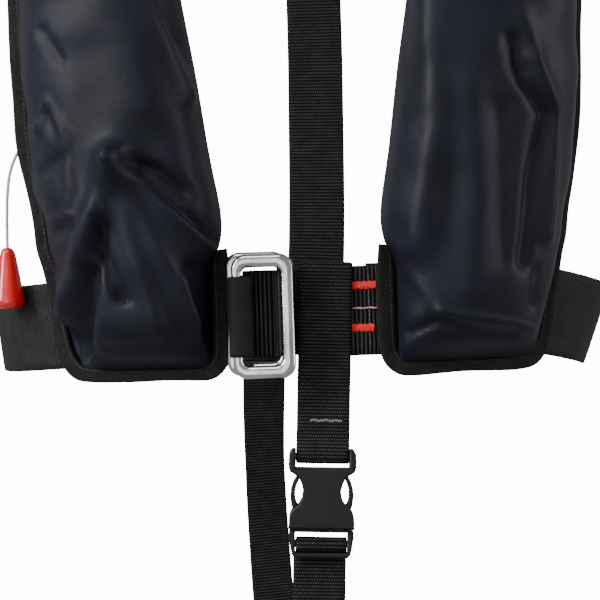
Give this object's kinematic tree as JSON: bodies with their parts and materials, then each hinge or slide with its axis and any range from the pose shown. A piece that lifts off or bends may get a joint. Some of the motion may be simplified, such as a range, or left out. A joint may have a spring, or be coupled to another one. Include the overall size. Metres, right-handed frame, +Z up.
{
  "type": "inflatable life jacket",
  "caption": "Horseshoe inflatable life jacket with waist belt, two steel harness rings, crotch strap with side-release buckle, and a red manual pull handle.",
  "frame": {"origin": "the nape: middle of the collar's lower inner edge, where it rests on the back of the neck", "axes": "+Z up as worn, the front of the jacket faces -Y, +X is the wearer's left"},
  "size_m": [0.36, 0.3044, 0.7566],
  "materials": {
    "cover_fabric": "satin woven nylon, black with a blue cast",
    "lining_fabric": "plain woven nylon",
    "binding_tape": "matt woven tape",
    "webbing": "ribbed black webbing with grey flecks",
    "bladder_film": "coated yellow nylon",
    "steel": "polished stainless steel",
    "cylinder_steel": "plated steel",
    "black_plastic": "satin moulded",
    "yellow_plastic": "moulded",
    "green_plastic": "moulded",
    "orange_plastic": "moulded",
    "red_plastic": "glossy moulded",
    "white_cord": "braided",
    "red_thread": "sewing thread",
    "pale_thread": "sewing thread"
  },
  "bodies": {
    "jacket": {"left_lobe_cover": "cover_fabric", "right_lobe_cover": "cover_fabric", "collar_cover": "cover_fabric", "left_lobe_lining": "lining_fabric", "right_lobe_lining": "lining_fabric", "collar_lining": "lining_fabric", "left_edge_binding": "binding_tape", "right_edge_binding": "binding_tape", "collar_binding": "binding_tape", "left_hem_binding": "binding_tape", "right_hem_binding": "binding_tape", "left_belt_sleeve": "webbing", "right_belt_sleeve": "webbing", "bladder": "bladder_film", "waist_belt": "webbing", "belt_tail": "webbing", "left_ring_loop": "webbing", "right_ring_loop": "webbing", "rear_ring": "steel", "back_strap": "webbing", "hang_loop": "webbing", "crotch_front_strap": "webbing", "crotch_strap": "webbing", "buckle_socket": "black_plastic", "inflator_body": "black_plastic", "co2_cylinder": "cylinder_steel", "bobbin_cap": "yellow_plastic", "indicator_clip": "green_plastic", "manifold": "black_plastic", "oral_tube": "black_plastic", "whistle": "orange_plastic", "red_bartacks": "red_thread", "strap_bartack": "pale_thread"},
    "front_ring": {"front_ring": "steel"},
    "buckle_plug": {"buckle_plug": "black_plastic"},
    "left_release_arm": {"left_release_arm": "black_plastic"},
    "right_release_arm": {"right_release_arm": "black_plastic"},
    "pull": {"pull_toggle": "red_plastic", "pull_cord": "white_cord", "cord_ball": "black_plastic"},
    "lever": {"inflator_lever": "black_plastic"},
    "belt_slider": {"belt_slider": "black_plastic"},
    "oral_cap": {"oral_cap": "black_plastic"}
  },
  "joints": [
    {"name": "front_ring_swing", "type": "hinge", "parent": "jacket", "child": "front_ring", "pos_m": [-0.0373, -0.1782, -0.3945], "axis": [0, 0, -1], "range_deg": [0, 100]},
    {"name": "buckle_release", "type": "slide", "parent": "jacket", "child": "buckle_plug", "axis": [-0.0488, 0, -0.9988], "range_m": [0, 0.027], "deforming": ["crotch_strap", "left_release_arm", "right_release_arm"]},
    {"name": "left_arm_press", "type": "hinge", "parent": "buckle_plug", "child": "left_release_arm", "pos_m": [-0.00732, -0.1644, -0.5177], "axis": [0, 1, 0], "range_deg": [0, 7], "stiffness_Nm_per_rad": 1},
    {"name": "right_arm_press", "type": "hinge", "parent": "buckle_plug", "child": "right_release_arm", "pos_m": [0.01905, -0.1644, -0.51899], "axis": [0, -1, 0], "range_deg": [0, 7], "stiffness_Nm_per_rad": 1},
    {"name": "handle_pull", "type": "slide", "parent": "jacket", "child": "pull", "axis": [0, 0, -1], "range_m": [0, 0.0173]},
    {"name": "lever_turn", "type": "hinge", "parent": "jacket", "child": "lever", "pos_m": [-0.12142, -0.17002, -0.271], "axis": [-0.2419, -0.9703, 0], "range_deg": [0, 60.5]},
    {"name": "belt_slider_slide", "type": "slide", "parent": "jacket", "child": "belt_slider", "axis": [1, 0, 0], "range_m": [-0.014, 0.014]},
    {"name": "oral_cap_lift", "type": "slide", "parent": "jacket", "child": "oral_cap", "axis": [0, 0, 1], "range_m": [0, 0.012]}
  ],
  "couplings": [
    {"joint": "lever_turn", "follows": "handle_pull", "rad_per_m": 60.46}
  ]
}
